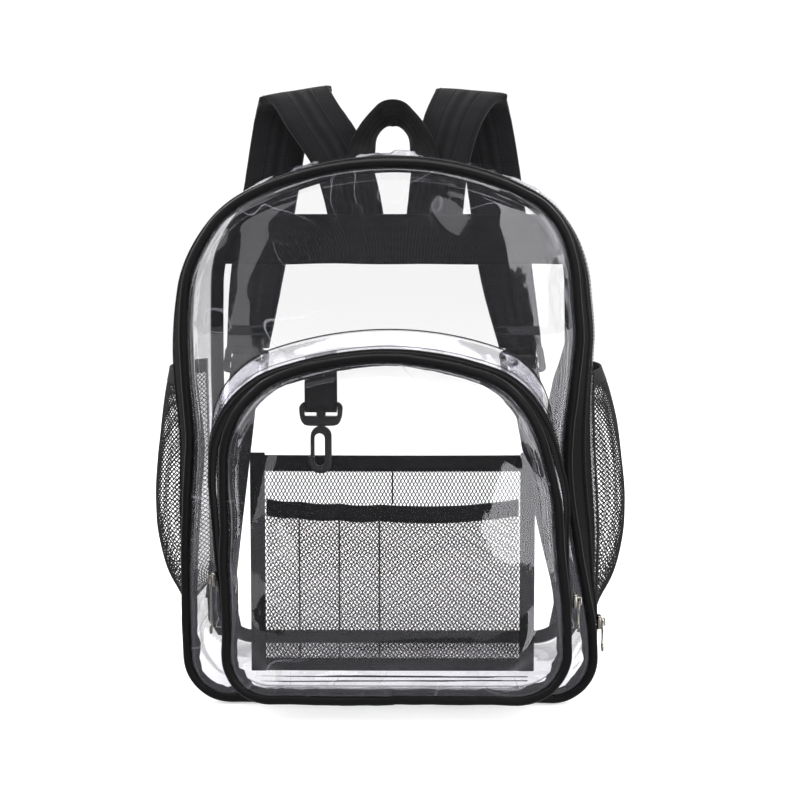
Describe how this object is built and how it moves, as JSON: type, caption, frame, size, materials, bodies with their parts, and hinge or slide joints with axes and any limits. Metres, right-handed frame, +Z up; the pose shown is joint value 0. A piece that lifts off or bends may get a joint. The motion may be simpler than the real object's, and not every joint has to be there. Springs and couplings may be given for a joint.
{
  "type": "clear backpack",
  "caption": "Clear PVC backpack with black piping, a zipped main compartment, a zipped front pocket with net organizer and key hook, side net pockets, padded straps and a top handle.",
  "frame": {"origin": "centre of the bounding box at the floor the bag stands on", "axes": "+Z up, the front with the pocket faces -Y, +X to the right as seen from the front"},
  "size_m": [0.392, 0.2754, 0.5007],
  "materials": {
    "clear_pvc": "clear, glossy",
    "piping": "satin",
    "binding": "woven tape",
    "zip_tape": "woven tape",
    "zip_coil": "moulded",
    "strap_cloth": "woven cloth",
    "webbing": "ribbed webbing",
    "net": "open net",
    "black_plastic": "moulded",
    "zip_metal": "nickel plated"
  },
  "bodies": {
    "bag": {"front_panel": "clear_pvc", "front_piping": "piping", "main_zip_tape": "zip_tape", "main_zip_coil": "zip_coil", "zip_gusset": "clear_pvc", "base_gusset": "clear_pvc", "back_panel": "clear_pvc", "back_binding": "binding", "yoke": "strap_cloth", "handle": "webbing", "strap_left": "strap_cloth", "strap_buckle_left": "black_plastic", "strap_web_left": "webbing", "strap_anchor_left": "strap_cloth", "strap_right": "strap_cloth", "strap_buckle_right": "black_plastic", "strap_web_right": "webbing", "strap_anchor_right": "strap_cloth", "mesh_pocket_left": "net", "mesh_hem_left": "binding", "mesh_pocket_right": "net", "mesh_hem_right": "binding", "pocket_front": "clear_pvc", "pocket_piping": "piping", "pocket_zip_tape": "zip_tape", "pocket_zip_coil": "zip_coil", "pocket_gusset": "clear_pvc", "pocket_base": "clear_pvc", "organizer_frame": "binding", "organizer_back_mesh": "net", "organizer_front_mesh": "net", "organizer_hem": "binding", "key_strap": "webbing", "hook_base": "black_plastic", "main_slider": "zip_metal", "pocket_slider_left": "zip_metal", "pocket_slider_right": "zip_metal"},
    "hook": {"key_hook": "black_plastic"},
    "main_pull_tab": {"main_pull": "zip_metal"},
    "left_pull_tab": {"pocket_pull_left": "zip_metal"},
    "right_pull_tab": {"pocket_pull_right": "zip_metal"}
  },
  "joints": [
    {"name": "hook_swivel", "type": "hinge", "parent": "bag", "child": "hook", "pos_m": [-0.05096, -0.1021, 0.231], "axis": [0, 0, 1], "continuous": true},
    {"name": "main_pull_hinge", "type": "hinge", "parent": "bag", "child": "main_pull_tab", "pos_m": [0.16925, -0.06435, 0.06], "axis": [0, -1, 0], "range_deg": [0, 165]},
    {"name": "left_pull_hinge", "type": "hinge", "parent": "bag", "child": "left_pull_tab", "pos_m": [-0.13386, -0.11595, 0.107], "axis": [0, 1, 0], "range_deg": [0, 165]},
    {"name": "right_pull_hinge", "type": "hinge", "parent": "bag", "child": "right_pull_tab", "pos_m": [0.14374, -0.11592, 0.091], "axis": [0, -1, 0], "range_deg": [0, 165]}
  ]
}
